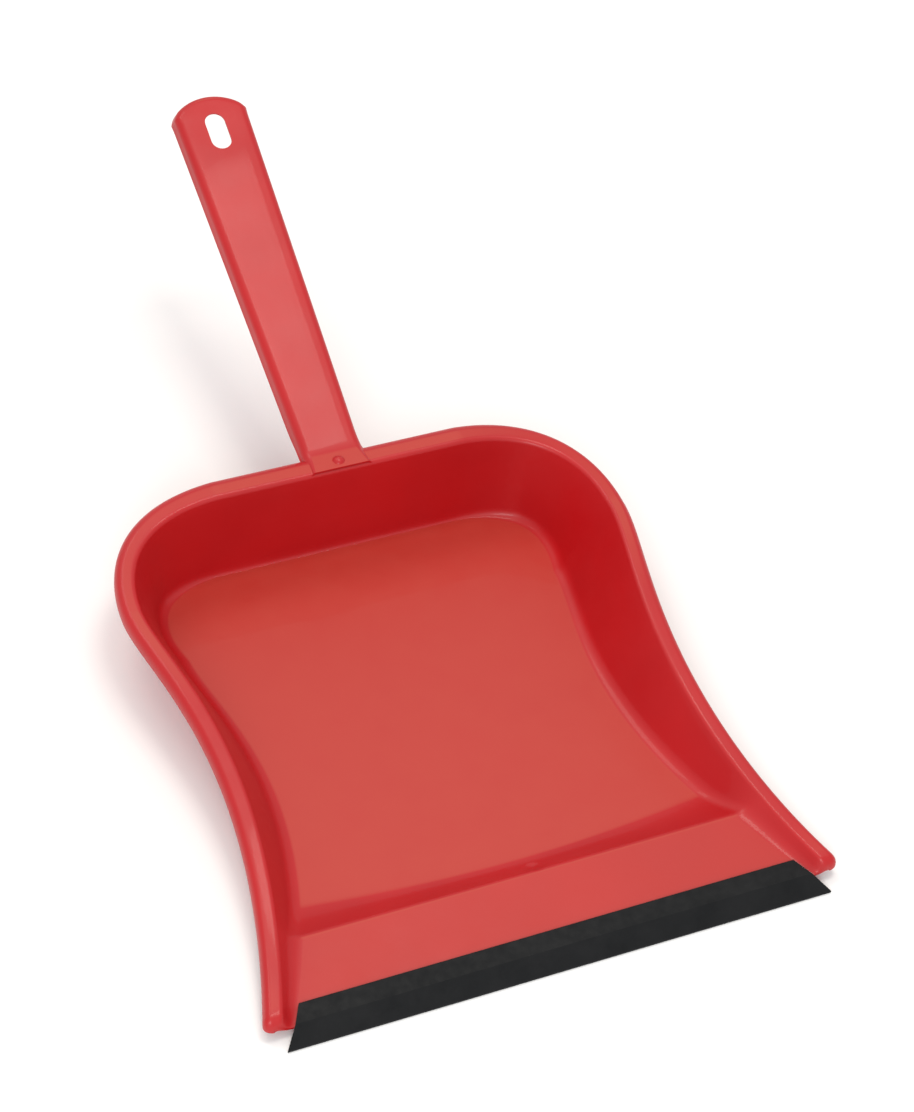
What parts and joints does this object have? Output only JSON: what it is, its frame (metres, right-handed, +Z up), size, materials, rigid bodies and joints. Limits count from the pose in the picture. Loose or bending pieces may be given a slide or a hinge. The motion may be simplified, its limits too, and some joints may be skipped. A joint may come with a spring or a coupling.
{
  "type": "dustpan",
  "caption": "Flat metal dustpan with a raised crest near the front, a rolled rim, a rubber lip and a rising channel handle with a hanging slot.",
  "frame": {"origin": "middle of the bounding box in X and Y, on the floor plane that the pan and the lip rest on", "axes": "+X to the right, +Y from the rubber lip to the end of the handle, +Z up"},
  "size_m": [0.2274, 0.3973, 0.1071],
  "materials": {
    "red_paint": "gloss red paint over pressed sheet steel",
    "black_rubber": "matt dark grey rubber"
  },
  "bodies": {
    "root": {"pan": "red_paint", "handle": "red_paint", "rubber_lip": "black_rubber", "handle_rivet": "red_paint"}
  },
  "joints": []
}
